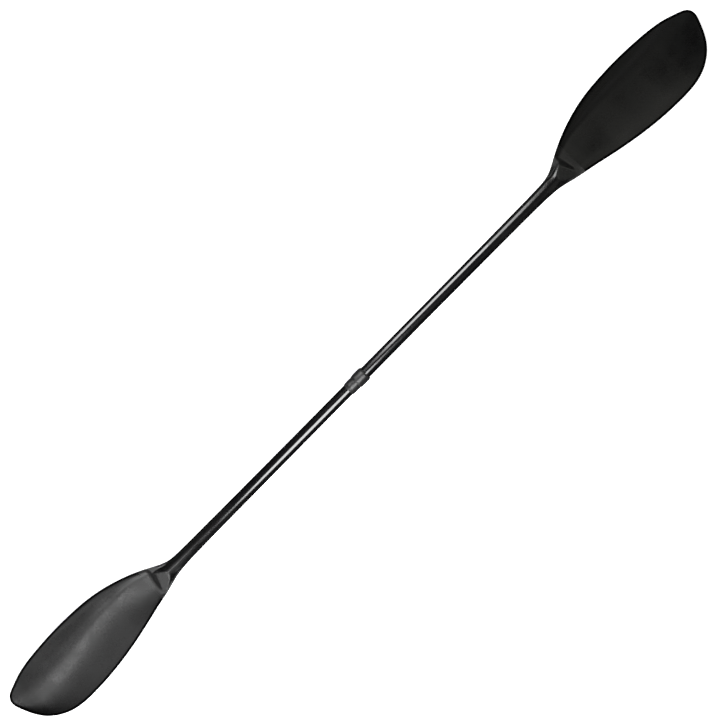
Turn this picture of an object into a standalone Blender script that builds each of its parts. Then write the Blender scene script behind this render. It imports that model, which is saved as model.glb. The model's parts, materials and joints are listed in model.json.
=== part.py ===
"""Two-piece double-bladed kayak paddle with asymmetric scooped blades.

The shaft lies along X. The female half-shaft and the left blade are on the -X
side, the male half-shaft and the right blade on the +X side. Both leading
edges point to +Y and both power faces to +Z. The two blades are mirror images
of each other. The paddle lies on its blade backs, on the plane Z = 0, with the
origin on that plane under the middle of its box. It is shown closed, at its
shortest length.

Each blade is carbon skins over a foam core, with an edge rim and a moulded
neck that sleeves over the shaft. The halves meet in a telescopic ferrule that
a twist collar clamps through a split collet.
"""

import math

import bmesh
import bpy
import numpy as np
from mathutils import Matrix

# ---------------------------------------------------------------------------
# Driving dimensions, in metres unless a name says otherwise
# ---------------------------------------------------------------------------
MM = 0.001
LENGTH_CLOSED = 2.200          # tip to tip, ferrule pushed home
GAP = 0.0003                   # clearance between touching pieces
SIDES = 32                     # facets round a tube

# blade, distances from the middle of the paddle
NECK_START = 0.412             # where the neck sleeve begins on the shaft
NECK_CUT = 0.682               # where the neck ends and the sandwich begins
SHAFT_END = 0.600              # end of the shaft inside the neck

# shaft and ferrule
SHAFT_R = 0.0140
SWELL_START = 0.220            # where the shaft starts to swell towards its neck
SWELL_R = 0.01445              # its radius where it meets the neck, flush
SPIGOT_R = 0.0136              # its turned-down end inside the neck
SHAFT_BORE = 0.0126
FERRULE_R = 0.0112
FERRULE_BORE = 0.0098
GUIDE_BORE = 0.0116
GUIDE_R = 0.0123
FERRULE_IN = -0.215            # inner end, inside the female half
FERRULE_OUT = 0.150            # outer end, bonded in the male half
FEMALE_END = -0.0347           # end of the female tube, under the collar
MALE_END = 0.0103              # end of the male tube, in the collar's mouth
EXTENSION = 0.100              # travel of the ferrule

# collar, a turned shape
COLLAR_IN = -0.0415
COLLAR_OUT = 0.0130
COLLAR_R = 0.0176              # its barrel
COLLAR_SKIRT_R = 0.0160        # the slimmer part over the female tube

# blade laminate
ROWS, COLUMNS = 30, 11         # stations along a blade, and points across it
SKIN = 0.0009
RIM_WIDTH = 0.0055
RIM_GAP = 0.0011                # room for the skins, whose edges lean with the surface
EDGE_THICKNESS = 0.0032
LEAST = 0.0031                 # least thickness away from the edge, measured upright

# Plan of the right blade, in mm: (distance from the middle, distance from the
# shaft's axis). It runs from the neck along the trailing edge to the tip, and
# back along the leading edge.
PLAN_TRAILING = [
    (412, -14.45), (470, -14.75), (520, -15.1), (555, -15.6), (585, -16.7),
    (618, -20.1), (650, -28.0), (700, -38.6), (760, -52.0), (820, -63.3),
    (880, -70.9), (935, -73.8), (982, -72.5), (1018.5, -64.5), (1045.5, -50.2),
    (1067.5, -30.5), (1083.5, -5.8), (1094, 18.3),
]
PLAN_TIP = (1100, 43.0)
PLAN_LEADING = [
    (1093, 58.0), (1070, 69.6), (1040, 79.6), (1000, 86.9), (950, 91.1),
    (900, 92.8), (850, 91.6), (800, 87.4), (750, 77.1), (700, 60.5),
    (660, 42.0), (632, 27.2), (610, 18.8), (585, 16.0), (555, 15.3),
    (520, 15.0), (470, 14.75), (412, 14.45),
]

# Heights of the right blade above the shaft's axis, in mm, by distance from
# the middle: the bottom of the scoop, and the middle of each edge's thickness.
SCOOP_FLOOR = [
    (600, -3.2), (640, -4.8), (664, -6.6), (682, -8.6), (710, -11.6),
    (770, -15.8), (850, -19.0), (920, -19.4), (990, -16.6), (1045, -10.6),
    (1080, -4.0), (1100, 0.6),
]
LEADING_HEIGHT = [
    (600, 0.0), (640, 0.8), (680, 2.8), (760, 7.6), (840, 9.4), (920, 8.2),
    (1000, 4.6), (1060, 1.6), (1100, 0.0),
]
TRAILING_HEIGHT = [
    (600, 0.0), (680, -1.5), (760, -3.8), (840, -5.2), (920, -5.6),
    (1000, -4.8), (1060, -2.4), (1100, 0.0),
]
# where the scoop is deepest across the blade, and how thick the blade is
# along the spine on its back
SCOOP_LINE = [
    (600, 1.0), (660, 14.0), (700, 26.0), (750, 31.5), (800, 30.5),
    (860, 23.5), (930, 12.0), (1000, 5.0), (1050, 3.0), (1085, 20.0),
    (1100, 43.0),
]
SPINE_THICKNESS = [
    (600, 34.0), (668, 13.0), (700, 12.0), (760, 11.2), (850, 9.4),
    (930, 7.6), (1000, 6.0), (1050, 4.6), (1100, 3.2),
]
SPINE_WIDTH = 0.040
SPINE_LINE = 0.000

# The neck: how high its round top stands over the edges' middle, and the
# slanting facet that the scoop cuts into it. The facet passes FACET_AT, falls
# towards the tip and leans down to the trailing side, and ends in a wall that
# drops to the scoop's floor.
NECK_HEIGHT = [
    (412, 14.45), (470, 14.75), (520, 15.0), (560, 15.2), (590, 15.15),
    (612, 14.75), (640, 14.6), (700, 14.5),
]
FACET_AT = (0.628, -0.003, 0.0145)
FACET_FALL = 0.36
FACET_LEAN = 0.15
WALL_TOP = (0.6560, -0.46)     # distance from the middle on the axis, and slope
WALL_FOOT = (0.6740, -0.20)
NECK_BLEND = 0.0016            # how softly the facet folds into the round top
# half the width of the round top, past which a thin web runs out to the edges
TUBE_HALF = [
    (560, 15.8), (590, 16.3), (602, 16.4), (612, 15.9), (620, 16.2),
    (630, 19.0), (640, 21.4), (650, 23.6), (690, 28.0),
]
WEB_FILLET = 0.0035


# ---------------------------------------------------------------------------
# Curves through stations
# ---------------------------------------------------------------------------
def cubic_through(t, values):
    """Second derivatives of the natural cubic through values at t."""
    n = len(t)
    h = np.diff(t)
    a = np.zeros((n, n))
    b = np.zeros((n,) + values.shape[1:])
    a[0, 0] = a[-1, -1] = 1.0
    for i in range(1, n - 1):
        a[i, i - 1], a[i, i], a[i, i + 1] = h[i - 1], 2 * (h[i - 1] + h[i]), h[i]
        b[i] = 6 * ((values[i + 1] - values[i]) / h[i] - (values[i] - values[i - 1]) / h[i - 1])
    return np.linalg.solve(a, b)


def cubic_at(t, values, bend, x):
    """The natural cubic's value at x."""
    x = np.asarray(x, float)
    i = np.clip(np.searchsorted(t, x) - 1, 0, len(t) - 2)
    h = t[i + 1] - t[i]
    left, right = (t[i + 1] - x) / h, (x - t[i]) / h
    if values.ndim > 1:
        h, left, right = h[..., None], left[..., None], right[..., None]
    return (
        left * values[i] + right * values[i + 1]
        + ((left ** 3 - left) * bend[i] + (right ** 3 - right) * bend[i + 1]) * h * h / 6
    )


def gentle(table):
    """A function of the distance from the middle that passes through a table's
    stations without overshooting them: a cubic with limited slopes."""
    x = np.array([p[0] for p in table], float) * MM
    y = np.array([p[1] for p in table], float) * MM
    step = np.diff(y) / np.diff(x)
    slope = np.zeros(len(x))
    for i in range(1, len(x) - 1):
        if step[i - 1] * step[i] > 0:
            slope[i] = 2 * step[i - 1] * step[i] / (step[i - 1] + step[i])
    slope[0], slope[-1] = step[0], step[-1]

    def at(q):
        q = np.clip(np.asarray(q, float), x[0], x[-1])
        i = np.clip(np.searchsorted(x, q) - 1, 0, len(x) - 2)
        h = x[i + 1] - x[i]
        u = (q - x[i]) / h
        return (
            y[i] * (1 + 2 * u) * (1 - u) ** 2 + slope[i] * h * u * (1 - u) ** 2
            + y[i + 1] * u * u * (3 - 2 * u) - slope[i + 1] * h * u * u * (1 - u)
        )

    return at


def ease(a, b, x):
    u = np.clip((np.asarray(x, float) - a) / (b - a), 0, 1)
    return u * u * (3 - 2 * u)


# ---------------------------------------------------------------------------
# The right blade's surfaces, about the shaft's axis
# ---------------------------------------------------------------------------
def plan_outline(fine=40):
    """The blade's plan as a smooth curve: points, and the tip's index."""
    points = np.array(PLAN_TRAILING + [PLAN_TIP] + PLAN_LEADING, float) * MM
    t = np.concatenate([[0], np.cumsum(np.linalg.norm(np.diff(points, axis=0), axis=1) ** 0.75)])
    bend = cubic_through(t, points)
    tip = len(PLAN_TRAILING)
    ts = np.concatenate(
        [np.linspace(t[i], t[i + 1], fine, endpoint=False) for i in range(len(t) - 1)] + [[t[-1]]]
    )
    curve = cubic_at(t, points, bend, ts)
    far = int(np.argmax(curve[:, 0]))
    curve[:, 0] *= 1 + (LENGTH_CLOSED / 2 / curve[far, 0] - 1) * ease(0.9, 1.09, curve[:, 0])
    return curve, far


OUTLINE, TIP_INDEX = plan_outline()
TRAILING_EDGE = OUTLINE[: TIP_INDEX + 1]
LEADING_EDGE = OUTLINE[TIP_INDEX:][::-1]

floor_of = gentle(SCOOP_FLOOR)
lead_of = gentle(LEADING_HEIGHT)
trail_of = gentle(TRAILING_HEIGHT)
line_of = gentle(SCOOP_LINE)
spine_of = gentle(SPINE_THICKNESS)


neck_height_of = gentle(NECK_HEIGHT)
tube_half_of = gentle(TUBE_HALF)


def sides_at(x):
    """The plan's two edges at a distance x from the middle."""
    lo = np.interp(x, TRAILING_EDGE[:, 0], TRAILING_EDGE[:, 1])
    hi = np.interp(x, LEADING_EDGE[:, 0], LEADING_EDGE[:, 1])
    return lo, hi


def lower_of(a, b, blend):
    """The lower of two heights, with the fold between them rounded."""
    near = np.clip(blend - np.abs(a - b), 0, None)
    return np.minimum(a, b) - near ** 2 / (4 * np.maximum(blend, 1e-9))


def from_edge(x, y):
    """Distance in the plan to the blade's edge."""
    out = np.empty(x.shape)
    flat_x, flat_y, flat = x.ravel(), y.ravel(), out.ravel()
    a, b = OUTLINE[:-1], OUTLINE[1:]
    d = b - a
    dd = (d ** 2).sum(1)
    for i in range(len(flat_x)):
        p = np.array([flat_x[i], flat_y[i]])
        s = np.clip(((p - a) * d).sum(1) / dd, 0, 1)
        flat[i] = np.sqrt((((a + d * s[:, None]) - p) ** 2).sum(1).min())
    return flat.reshape(x.shape)


def blade_heights(x, y, edge=None):
    """Heights of the power face and of the back at points of the plan."""
    x, y = np.asarray(x, float), np.asarray(y, float)
    lo, hi = sides_at(x)
    y = np.clip(y, lo, hi)
    if edge is None:
        edge = from_edge(x, y)
    half, mid = np.maximum((hi - lo) / 2, 1e-6), (hi + lo) / 2
    v = np.clip((y - mid) / half, -1, 1)
    bow = np.sqrt(np.clip(1 - v * v, 0, 1))
    z_lo, z_hi = trail_of(x), lead_of(x)
    z_edge = z_lo + (z_hi - z_lo) * (v + 1) / 2

    # the scoop: a floor that rises to both edges, more sharply near the neck
    # and on the leading side, where it curls up
    y0 = np.clip(line_of(x), lo + 0.25 * half, hi - 0.25 * half)
    lead = y > y0
    q = np.where(lead, (y - y0) / (hi - y0), (y0 - y) / (y0 - lo))
    near = 1 - ease(0.66, 0.78, x)
    power = np.where(lead, 2.6 + 1.4 * near, 2.0 + 2.4 * near)
    rim = np.where(lead, z_hi, z_lo) + EDGE_THICKNESS / 2
    q = np.clip(q, 0, 1)
    face = floor_of(x) + (rim - floor_of(x)) * q ** power

    # thickness, square to the face: thin at the edges, thicker along the
    # spine under the shaft
    spine = np.exp(-((y - SPINE_LINE) / SPINE_WIDTH) ** 2) * (1 - np.abs(v) ** 3)
    thick = EDGE_THICKNESS + (spine_of(x) - EDGE_THICKNESS) * spine
    width = np.maximum(np.where(lead, hi - y0, y0 - lo), 1e-6)
    slope = (rim - floor_of(x)) * power * q ** (power - 1) / width
    thick = thick * np.minimum(np.sqrt(1 + slope ** 2), 1.8)
    core = face - thick / 2

    # rounded edge
    r = EDGE_THICKNESS / 2
    g = np.sqrt(np.clip(1 - (1 - np.clip(edge / r, 0, 1)) ** 2, 0, 1))
    top = core + thick / 2 * g
    back = core - thick / 2 * g

    # the facet, never under the scoop, and the wall at its end
    facet = FACET_AT[2] - FACET_FALL * (x - FACET_AT[0]) + FACET_LEAN * (y - FACET_AT[1])
    facet = -lower_of(-facet, -top, 0.0030)
    drop = ease(WALL_TOP[0] + WALL_TOP[1] * y, WALL_FOOT[0] + WALL_FOOT[1] * y, x)
    top = facet + (top - facet) * drop

    # the round neck, which the facet cuts, and which fades into the back
    radius = neck_height_of(x)
    dome = z_edge + radius * bow
    s = (y - mid * (1 - ease(0.585, 0.610, x))) / tube_half_of(x)
    tube = z_edge + radius * np.sqrt(np.clip(1 - s * s, 0, 1))
    web = z_edge + LEAST / 2 * g
    winged = -lower_of(-tube, -web, WEB_FILLET * np.clip(edge / 0.004, 0, 1))
    m = ease(0.590, 0.614, x) * (1 - ease(0.655, 0.680, x))
    dome = dome * (1 - m) + winged * m
    rounded = lower_of(dome, top, NECK_BLEND * np.clip(edge / 0.003, 0, 1))
    top = dome + (rounded - dome) * ease(0.598, 0.612, x)
    w = ease(0.600, 0.790, x)
    back = (z_edge - radius * bow) * (1 - w) + back * w
    back = lower_of(back, top - LEAST * np.clip(edge / 0.002, 0, 1), 0.0004 * np.clip(edge / 0.003, 0, 1))
    return top, back


def face_normals(points):
    """Unit normals of a grid of points, pointing to +Z."""
    du, dv = np.gradient(points, axis=0), np.gradient(points, axis=1)
    n = np.cross(du, dv)
    size = np.linalg.norm(n, axis=-1, keepdims=True)
    n = n / np.maximum(size, 1e-12)
    return np.where(n[..., 2:3] < 0, -n, n)


# ---------------------------------------------------------------------------
# Scene helpers
# ---------------------------------------------------------------------------
def empty_scene():
    for obj in list(bpy.data.objects):
        bpy.data.objects.remove(obj, do_unlink=True)


empty_scene()
parts = bpy.data.collections.new("kayak_paddle")
tools = bpy.data.collections.new("cutters")
bpy.context.scene.collection.children.link(parts)
bpy.context.scene.collection.children.link(tools)


def material(name, colour, roughness, metallic=0.0):
    made = bpy.data.materials.new(name)
    made.use_nodes = True
    shader = made.node_tree.nodes["Principled BSDF"]
    shader.inputs["Base Color"].default_value = (*colour, 1)
    shader.inputs["Roughness"].default_value = roughness
    shader.inputs["Metallic"].default_value = metallic
    return made


def place(obj, mat, parent):
    """Puts a finished object in the model."""
    for collection in list(obj.users_collection):
        collection.objects.unlink(obj)
    parts.objects.link(obj)
    obj.data.materials.clear()
    obj.data.materials.append(mat)
    obj.parent = parent
    return obj


def mesh_object(name, points, faces, smooth=40):
    mesh = bpy.data.meshes.new(name)
    mesh.from_pydata([tuple(p) for p in points], [], [tuple(f) for f in faces])
    mesh.update()
    mesh.shade_smooth()
    mesh.set_sharp_from_angle(angle=math.radians(smooth))
    obj = bpy.data.objects.new(name, mesh)
    parts.objects.link(obj)
    return obj


def turned(name, profile, mat, parent, closed=True, sides=SIDES):
    """A turned piece on the shaft's axis. The profile is (distance along the
    axis, radius), and runs towards -X along the outer side."""
    mesh = bpy.data.meshes.new(name)
    points = [(r, 0, x) for x, r in profile]
    edges = [(i, i + 1) for i in range(len(points) - 1)]
    if closed:
        edges.append((len(points) - 1, 0))
    mesh.from_pydata(points, edges, [])
    obj = bpy.data.objects.new(name, mesh)
    parts.objects.link(obj)
    screw = obj.modifiers.new("turn", "SCREW")
    screw.axis = "Z"
    screw.steps = screw.render_steps = sides
    screw.use_merge_vertices = True
    screw.merge_threshold = 0.00001
    screw.use_smooth_shade = True
    obj.rotation_euler = (0, math.pi / 2, 0)
    return place(obj, mat, parent)


def tube(name, x0, x1, outer, inner, mat, parent, chamfer=0.0):
    """A straight tube from x0 to x1, x1 the larger."""
    c = chamfer
    if c:
        profile = [
            (x1, outer - c), (x1 - c, outer), (x0 + c, outer), (x0, outer - c),
            (x0, inner), (x1, inner),
        ]
    else:
        profile = [(x1, outer), (x0, outer), (x0, inner), (x1, inner)]
    return turned(name, profile, mat, parent)


def cut(obj, cutter, operation="DIFFERENCE"):
    mod = obj.modifiers.new(operation.lower(), "BOOLEAN")
    mod.operation = operation
    mod.object = cutter


def box_cutter(name, centre, size, turn=0.0, parent=None):
    """A box that removes material, turned about the shaft's axis."""
    bm = bmesh.new()
    bmesh.ops.create_cube(bm, size=1.0)
    bmesh.ops.scale(bm, vec=size, verts=bm.verts)
    bmesh.ops.translate(bm, vec=centre, verts=bm.verts)
    bmesh.ops.rotate(bm, cent=(0, 0, 0), matrix=Matrix.Rotation(turn, 3, "X"), verts=bm.verts)
    mesh = bpy.data.meshes.new(name)
    bm.to_mesh(mesh)
    bm.free()
    obj = bpy.data.objects.new(name, mesh)
    tools.objects.link(obj)
    obj.display_type = "WIRE"
    obj.hide_render = True
    obj.parent = parent
    return obj


# ---------------------------------------------------------------------------
# Materials
# ---------------------------------------------------------------------------
carbon_gloss = material("carbon_gloss", (0.012, 0.012, 0.014), 0.18)
carbon_satin = material("carbon_satin", (0.020, 0.020, 0.022), 0.42)
carbon_edge = material("carbon_edge", (0.010, 0.010, 0.011), 0.45)
collar_grey = material("collar_plastic", (0.060, 0.060, 0.064), 0.62)
nylon_dark = material("nylon_dark", (0.030, 0.030, 0.032), 0.55)
nylon_pale = material("nylon_pale", (0.42, 0.42, 0.40), 0.50)
seal_rubber = material("seal_rubber", (0.015, 0.015, 0.015), 0.80)
foam = material("foam", (0.62, 0.58, 0.46), 0.90)
glass_fibre = material("glass_fibre", (0.05, 0.055, 0.05), 0.35)


# ---------------------------------------------------------------------------
# Blades
# ---------------------------------------------------------------------------
def stations(edge, inner_side):
    """Stations along an edge from the neck cut to the tip, closer at both
    ends: their points, and the directions that point into the blade."""
    keep = edge[edge[:, 0] > NECK_CUT + GAP]
    first = np.array([[NECK_CUT + GAP, np.interp(NECK_CUT + GAP, edge[:, 0], edge[:, 1])]])
    line = np.vstack([first, keep])
    s = np.concatenate([[0], np.cumsum(np.linalg.norm(np.diff(line, axis=0), axis=1))])
    u = np.linspace(0, 1, ROWS)
    want = s[-1] * (0.45 * u + 0.55 * (1 - np.cos(math.pi * u)) / 2)
    points = np.stack([np.interp(want, s, line[:, 0]), np.interp(want, s, line[:, 1])], 1)
    fine = np.gradient(line, s, axis=0)
    d = np.stack([np.interp(want, s, fine[:, 0]), np.interp(want, s, fine[:, 1])], 1)
    d /= np.linalg.norm(d, axis=1)[:, None]
    inward = inner_side * np.stack([-d[:, 1], d[:, 0]], 1)
    # the neck end is square to the shaft, so it is inset along Y alone
    inward[0] = (0, inner_side / d[0, 0])
    # both edges meet at the tip, and share its direction
    inward[-1] = (-1, 0)
    return points, inward


def blade_grid(depth):
    """Points of the plan inside the outline inset by depth: rows from the
    neck to the tip, columns from the trailing to the leading edge. The last
    row is one point."""
    (lo, lo_in), (hi, hi_in) = stations(TRAILING_EDGE, 1), stations(LEADING_EDGE, -1)
    a, b = lo + depth * lo_in, hi + depth * hi_in
    v = np.linspace(0, 1, COLUMNS)
    v = 0.5 * v + 0.5 * (1 - np.cos(math.pi * v)) / 2
    return a[:, None, :] + (b - a)[:, None, :] * v[None, :, None]


def grid_faces(rows, columns, flip):
    """Quads of a grid whose last row is one point, and its fan of triangles."""
    faces = []
    for i in range(rows - 2):
        for j in range(columns - 1):
            a, b = i * columns + j, i * columns + j + 1
            c, d = b + columns, a + columns
            faces.append((a, b, c, d) if flip else (a, d, c, b))
    tip = (rows - 1) * columns
    for j in range(columns - 1):
        a, b = (rows - 2) * columns + j, (rows - 2) * columns + j + 1
        faces.append((a, b, tip) if flip else (a, tip, b))
    return faces


def grid_points(points):
    """A grid's points as a list, with the last row as one point."""
    rows, columns = points.shape[:2]
    return list(points[:-1].reshape(-1, 3)) + [points[-1, columns // 2]]


def surface(side_name, lift):
    """The power face or the back as a grid of points inside the rim, moved
    into the blade by lift, measured square to the surface."""
    plan = blade_grid(RIM_WIDTH + RIM_GAP)
    top, back = blade_heights(plan[..., 0], plan[..., 1])
    z = top if side_name == "face" else back
    points = np.concatenate([plan, z[..., None]], -1)
    points[-1] = points[-1].mean(0)
    if lift:
        down = -1 if side_name == "face" else 1
        points[..., 2] += down * lift / np.maximum(face_normals(points)[..., 2], 0.4)
        points[-1] = points[-1].mean(0)
    return points


# The frame: the shaft's axis stands over the floor at the height of the blade
# backs, and the box's middle is over the origin
AXIS_HEIGHT = -float(round(surface("back", 0)[..., 2].min(), 6))
AXIS_OFFSET = -float(round((OUTLINE[:, 1].max() + OUTLINE[:, 1].min()) / 2, 5))


def frame_at(name):
    made = bpy.data.objects.new(name, None)
    parts.objects.link(made)
    made.location = (0, AXIS_OFFSET, AXIS_HEIGHT)
    return made


female_frame = frame_at("female_half_frame")
male_frame = frame_at("male_half_frame")
collar_frame = frame_at("collar_axis")
collet_frame = frame_at("collet_axis")


def skin(name, side_name, hand, mat, parent):
    """A carbon skin: the open surface of one face, thickened inwards."""
    points = surface(side_name, 0)
    points[..., 0] *= hand
    outward_up = side_name == "face"
    flip = (hand > 0) != outward_up
    obj = mesh_object(name, grid_points(points), grid_faces(ROWS, COLUMNS, flip))
    solid = obj.modifiers.new("laminate", "SOLIDIFY")
    solid.thickness = SKIN
    solid.offset = -1
    solid.use_even_offset = False
    return place(obj, mat, parent)


def core(name, hand, mat, parent):
    """The foam between the skins: a loft closed at the neck and at its sides."""
    top, back = surface("face", SKIN + 0.0008), surface("back", SKIN + 0.0014)
    # the foam is pared to an edge of 0.2 mm, midway between the faces
    middle = (surface("face", 0)[..., 2] + surface("back", 0)[..., 2]) / 2
    top[..., 2] = np.maximum(top[..., 2], middle + 0.0001)
    back[..., 2] = np.minimum(back[..., 2], middle - 0.0001)
    # its sides and its tip stop short of the skins' edges
    for grid in (top, back):
        for edge, inner in ((np.s_[1:, 0], np.s_[1:, 1]), (np.s_[1:, -1], np.s_[1:, -2]), (np.s_[-1], np.s_[-2])):
            step = grid[inner] - grid[edge]
            size = np.linalg.norm(step[..., :2], axis=-1, keepdims=True)
            grid[edge] = grid[edge] + step * np.minimum(0.45, 0.0025 / np.maximum(size, 1e-9))
        grid[-1] = grid[-1].mean(0)
    for grid in (top, back):
        grid[..., 0] *= hand
    points = grid_points(top) + grid_points(back)
    count = (ROWS - 1) * COLUMNS + 1
    up = hand < 0
    faces = grid_faces(ROWS, COLUMNS, up)
    faces += [tuple(count + i for i in f) for f in grid_faces(ROWS, COLUMNS, not up)]

    def index(i, j):
        return (ROWS - 1) * COLUMNS if i == ROWS - 1 else i * COLUMNS + j

    border = [index(0, j) for j in range(COLUMNS)]
    border += [index(i, COLUMNS - 1) for i in range(1, ROWS)]
    border += [index(i, 0) for i in range(ROWS - 2, 0, -1)]
    for a, b in zip(border, border[1:] + border[:1]):
        face = (a, b, count + b, count + a)
        faces.append(face[::-1] if up else face)
    return place(mesh_object(name, points, faces), mat, parent)


def rim(name, hand, mat, parent):
    """The band round the blade's edge, from the neck round the tip and back:
    one rounded section swept along the outline."""
    (lo, lo_in), (hi, hi_in) = stations(TRAILING_EDGE, 1), stations(LEADING_EDGE, -1)
    path = np.vstack([lo, hi[::-1][1:]])
    inward = np.vstack([lo_in, hi_in[::-1][1:]])
    depths = np.array([0.0002, 0.0011, 0.0024, RIM_WIDTH])
    plan = path[:, None, :] + inward[:, None, :] * depths[None, :, None]
    top, back = blade_heights(plan[..., 0], plan[..., 1], np.broadcast_to(depths, plan.shape[:2]))
    z_edge = (blade_heights(path[:, 0], path[:, 1], np.zeros(len(path)))[0])
    section = []
    for k in range(len(path)):
        loop = [(*path[k], z_edge[k])]
        loop += [(*plan[k, j], top[k, j]) for j in range(4)]
        loop += [(*plan[k, j], back[k, j]) for j in range(3, -1, -1)]
        section.append(loop)
    section = np.array(section)
    section[..., 0] *= hand
    n = section.shape[1]
    faces = []
    for k in range(len(path) - 1):
        for j in range(n):
            a, b = k * n + j, k * n + (j + 1) % n
            face = (a, b, b + n, a + n)
            faces.append(face[::-1] if hand > 0 else face)
    first = tuple(range(n))
    last = tuple((len(path) - 1) * n + j for j in range(n))
    faces.append(first if hand > 0 else first[::-1])
    faces.append(last[::-1] if hand > 0 else last)
    return place(mesh_object(name, section.reshape(-1, 3), faces), mat, parent)


def neck(name, hand, mat, parent):
    """The moulded neck: a sleeve over the shaft that flares into the blade,
    lofted between a circle and the blade's section, with a blind bore."""
    rings = [
        NECK_START, 0.470, 0.520, 0.555, 0.578, 0.594, 0.604, 0.612, 0.619,
        0.626, 0.633, 0.640, 0.647, 0.653, 0.658, 0.663, 0.668, 0.673, NECK_CUT,
    ]
    half = SIDES // 2
    angle = np.linspace(0, math.pi, half + 1)
    points = []
    for k, x in enumerate(rings):
        xs = np.full(half + 1, x)
        lo, hi = sides_at(xs)
        y = (lo + hi) / 2 - (hi - lo) / 2 * np.cos(angle)
        edge = from_edge(xs, y)
        edge[0] = edge[-1] = 0
        top, back = blade_heights(xs, y, edge)
        ring = [(x, y[j], top[j]) for j in range(half + 1)]
        ring += [(x, y[j], back[j]) for j in range(half - 1, 0, -1)]
        points += ring
    outer = len(points)
    bore = SPIGOT_R + GAP
    for x in (NECK_START, SHAFT_END + 0.002):
        points += [
            (x, -bore * math.cos(2 * math.pi * j / SIDES), bore * math.sin(2 * math.pi * j / SIDES))
            for j in range(SIDES)
        ]
    faces = []
    n = SIDES
    for k in range(len(rings) - 1):
        for j in range(n):
            a, b = k * n + j, k * n + (j + 1) % n
            faces.append((a, b, b + n, a + n))
    for j in range(n):
        b = (j + 1) % n
        faces.append((outer + j, outer + n + j, outer + n + b, outer + b))
        faces.append((j, outer + j, outer + b, b))
    faces.append(tuple(outer + n + j for j in reversed(range(n))))
    # the far end, between the upper and the lower half of the last ring
    last = (len(rings) - 1) * n
    for j in range(half):
        upper = (last + j, last + j + 1)
        lower = (last + (n - j) % n, last + n - j - 1)
        face = [upper[0], lower[0], lower[1], upper[1]]
        face = list(dict.fromkeys(face))
        faces.append(tuple(face[::-1]))
    points = np.array(points)
    points[:, 0] *= hand
    if hand > 0:
        faces = [f[::-1] for f in faces]
    return place(mesh_object(name, points, faces), mat, parent)


def blade(prefix, hand, parent):
    skin(f"{prefix}_power_face_skin", "face", hand, carbon_satin, parent)
    skin(f"{prefix}_back_face_skin", "back", hand, carbon_satin, parent)
    core(f"{prefix}_foam_core", hand, foam, parent)
    rim(f"{prefix}_edge_rim", hand, carbon_edge, parent)
    neck(f"{prefix}_blade_neck", hand, carbon_satin, parent)


blade("left", -1, female_frame)
blade("right", 1, male_frame)


# ---------------------------------------------------------------------------
# Shaft halves
# ---------------------------------------------------------------------------
def plug(name, x0, x1, radius, mat, parent):
    """A foam plug that keeps water out of a tube: a short solid cylinder."""
    c = 0.001
    turned(
        name,
        [(x1, 0), (x1, radius - c), (x1 - c, radius), (x0 + c, radius), (x0, radius - c), (x0, 0)],
        mat, parent, closed=False,
    )


def shaft(name, near, hand, chamfer, mat, parent):
    """Half of the shaft: a tube that swells a little towards its neck, with a
    turned-down end inside the neck."""
    neck_face = NECK_START - GAP
    outer = [
        (SHAFT_END, SPIGOT_R), (neck_face, SPIGOT_R), (neck_face, SWELL_R),
        (0.350, (SHAFT_R + SWELL_R * 2) / 3), (SWELL_START, SHAFT_R), (near + chamfer, SHAFT_R),
    ]
    if chamfer:
        outer.append((near, SHAFT_R - chamfer))
    profile = outer + [(near, SHAFT_BORE), (SHAFT_END, SHAFT_BORE)]
    if hand < 0:
        profile = [(-x, r) for x, r in reversed(profile)]
    return turned(name, profile, mat, parent)


shaft("female_shaft_tube", -FEMALE_END, -1, 0, carbon_gloss, female_frame)
shaft("male_shaft_tube", MALE_END, 1, 0.0004, carbon_gloss, male_frame)
plug("left_shaft_plug", -0.598, -0.570, SHAFT_BORE - GAP, foam, female_frame)
plug("right_shaft_plug", 0.570, 0.598, SHAFT_BORE - GAP, foam, male_frame)
plug("female_bulkhead_plug", -0.270, -0.245, SHAFT_BORE - GAP, foam, female_frame)

# the sleeve that the ferrule slides in, bonded in the female tube
tube("ferrule_guide_sleeve", -0.240, -0.0637, GUIDE_R, GUIDE_BORE, glass_fibre, female_frame)

# the threaded end of the female half: a spigot in the tube and a head outside
HEAD = -0.0117
turned(
    "threaded_end_sleeve",
    [
        (HEAD, 0.0136), (HEAD - 0.0006, SHAFT_R), (FEMALE_END + GAP, SHAFT_R),
        (FEMALE_END + GAP, GUIDE_R), (-0.0633, GUIDE_R), (-0.0633, GUIDE_BORE), (HEAD, GUIDE_BORE),
    ],
    nylon_dark, female_frame,
)

# ---------------------------------------------------------------------------
# Ferrule, on the male half
# ---------------------------------------------------------------------------
tube("ferrule_tube", FERRULE_IN, FERRULE_OUT, FERRULE_R, FERRULE_BORE, carbon_gloss, male_frame, 0.0004)
tube("ferrule_bond_sleeve", MALE_END + 0.0003, FERRULE_OUT, GUIDE_R, FERRULE_R + GAP, glass_fibre, male_frame)
turned(
    "ferrule_end_plug",
    [
        (FERRULE_IN + 0.022, 0), (FERRULE_IN + 0.022, FERRULE_BORE - GAP),
        (FERRULE_IN - GAP, FERRULE_BORE - GAP), (FERRULE_IN - GAP, FERRULE_R),
        (FERRULE_IN - 0.0015, FERRULE_R), (FERRULE_IN - 0.0035, FERRULE_R - 0.0015),
        (FERRULE_IN - 0.0035, 0),
    ],
    nylon_dark, male_frame, closed=False,
)

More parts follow.
